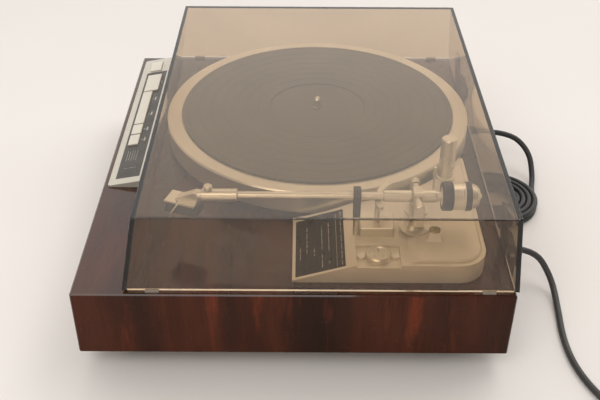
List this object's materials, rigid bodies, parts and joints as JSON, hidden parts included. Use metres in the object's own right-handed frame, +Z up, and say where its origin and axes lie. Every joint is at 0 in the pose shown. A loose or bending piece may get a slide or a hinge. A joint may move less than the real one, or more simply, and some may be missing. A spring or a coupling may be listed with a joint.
{
  "type": "turntable record player",
  "caption": "Direct-drive record player: glossy wooden plinth on feet, platter with mat, straight tonearm on a cast base, sloping button panel and hinged tinted dust cover.",
  "frame": {"origin": "on the surface the feet stand on, under the middle of the player's outline without its cords", "axes": "+X to the player's right where the tonearm is, -Y to its front where the buttons are, +Z up"},
  "size_m": [0.5968, 0.5037, 0.1665],
  "materials": {
    "board": "matt",
    "bright": "polished",
    "button": "satin",
    "champagne": "satin",
    "champagne_paint": "satin",
    "circuit": "satin",
    "cord": "satin",
    "dark_metal": "satin",
    "dark_plastic": "matt",
    "foot_plastic": "satin",
    "iron": "matt",
    "lead": "satin",
    "lens": "gloss",
    "magnet": "matt",
    "mat_rubber": "matt",
    "motor_metal": "satin",
    "olive": "gloss",
    "plug": "satin",
    "rosewood": "gloss",
    "rubber": "matt",
    "steel": "satin",
    "tint": "gloss"
  },
  "bodies": {
    "plinth": {"plinth": "rosewood", "bottom_cover": "board", "feet": "foot_plastic", "foot_pads": "rubber", "screws": "steel", "panel_frame": "champagne", "panel_inset": "dark_plastic", "indicator_lenses": "lens", "switch_board": "circuit", "motor_base": "motor_metal", "stator": "iron", "transformer": "iron", "main_board": "circuit", "arm_base": "champagne_paint", "info_plate": "dark_metal", "lamp_post": "champagne", "bias_post": "champagne", "arm_pillar": "champagne", "rest_post": "champagne", "rest_clip": "dark_plastic", "lift_block": "champagne", "cue_foot": "bright", "hinge_bodies": "dark_metal", "hinge_pins": "steel", "mains_relief": "plug", "mains_cord": "cord", "mains_coil": "cord", "mains_plug": "plug", "signal_relief": "plug", "signal_lead": "lead", "signal_coil": "lead", "signal_plugs": "bright"},
    "cover": {"dust_cover": "tint", "cover_buffers": "rubber", "hinge_leaves": "dark_metal"},
    "turntable": {"platter": "champagne", "mat": "mat_rubber", "spindle": "bright", "rotor_magnet": "magnet"},
    "yoke": {"yoke": "champagne", "pivot_caps": "champagne"},
    "tonearm": {"arm_hub": "champagne", "arm_tube": "champagne", "arm_collar": "champagne", "headshell": "champagne", "cartridge": "dark_plastic", "stylus": "olive", "finger_lift": "bright"},
    "lock_knob": {"lock_knob": "champagne"},
    "counterweight": {"counterweight": "champagne"},
    "weight_dial": {"weight_dial": "dark_metal"},
    "bias_dial": {"bias_dial": "champagne"},
    "lifter": {"lifter": "dark_metal"},
    "cue_lever": {"cue_lever": "olive"},
    "power_button": {"power_button": "button"},
    "start_button": {"start_button": "button"},
    "lift_button": {"lift_button": "button"},
    "speed_33_button": {"speed_33_button": "button"},
    "speed_45_button": {"speed_45_button": "button"}
  },
  "joints": [
    {"name": "cover_hinge", "type": "hinge", "parent": "plinth", "child": "cover", "pos_m": [0, 0.19575, 0.0928], "axis": [-1, 0, 0], "range_deg": [0, 65]},
    {"name": "platter_spin", "type": "hinge", "parent": "plinth", "child": "turntable", "pos_m": [-0.0458, 0.01635, 0.1203], "axis": [0, 0, -1], "continuous": true},
    {"name": "arm_swing", "type": "hinge", "parent": "plinth", "child": "yoke", "pos_m": [0.1555, 0.10275, 0.1458], "axis": [0, 0, -1], "range_deg": [0, 50]},
    {"name": "arm_rise", "type": "hinge", "parent": "yoke", "child": "tonearm", "pos_m": [0.1555, 0.10275, 0.1458], "axis": [-1, 0, 0], "range_deg": [0, 2]},
    {"name": "headshell_lock_turn", "type": "hinge", "parent": "tonearm", "child": "lock_knob", "pos_m": [0.1555, -0.08375, 0.1538], "axis": [0, 0, 1], "range_deg": [0, 180]},
    {"name": "weight_slide", "type": "slide", "parent": "tonearm", "child": "counterweight", "axis": [0, 1, 0], "range_m": [-0.003, 0.003]},
    {"name": "weight_dial_turn", "type": "hinge", "parent": "counterweight", "child": "weight_dial", "pos_m": [0.1555, 0.12975, 0.1458], "axis": [0, 1, 0], "range_deg": [-360, 360]},
    {"name": "bias_dial_turn", "type": "hinge", "parent": "plinth", "child": "bias_dial", "pos_m": [0.193, 0.06725, 0.108], "axis": [0, 0, 1], "range_deg": [0, 270]},
    {"name": "lifter_lower", "type": "slide", "parent": "plinth", "child": "lifter", "axis": [0, 0, 1], "range_m": [-0.005, 0]},
    {"name": "cue_lever_tilt", "type": "hinge", "parent": "plinth", "child": "cue_lever", "pos_m": [0.1725, 0.11825, 0.1158], "axis": [1, 0, 0], "range_deg": [0, 10]},
    {"name": "power_button_press", "type": "slide", "parent": "plinth", "child": "power_button", "axis": [0, 0.1853, -0.9827], "range_m": [0, 0.0015], "stiffness_N_per_m": 400, "springref_m": -0.0006},
    {"name": "start_button_press", "type": "slide", "parent": "plinth", "child": "start_button", "axis": [0, 0.1853, -0.9827], "range_m": [0, 0.0015], "stiffness_N_per_m": 400, "springref_m": -0.0006},
    {"name": "lift_button_press", "type": "slide", "parent": "plinth", "child": "lift_button", "axis": [0, 0.1853, -0.9827], "range_m": [0, 0.0015], "stiffness_N_per_m": 400, "springref_m": -0.0006},
    {"name": "speed_33_button_press", "type": "slide", "parent": "plinth", "child": "speed_33_button", "axis": [0, 0.1853, -0.9827], "range_m": [0, 0.0015], "stiffness_N_per_m": 400, "springref_m": -0.0006},
    {"name": "speed_45_button_press", "type": "slide", "parent": "plinth", "child": "speed_45_button", "axis": [0, 0.1853, -0.9827], "range_m": [0, 0.0015], "stiffness_N_per_m": 400, "springref_m": -0.0006}
  ],
  "couplings": [
    {"joint": "weight_dial_turn", "follows": "weight_slide", "rad_per_m": 2000},
    {"joint": "cue_lever_tilt", "follows": "lifter_lower", "rad_per_m": -34.903}
  ]
}
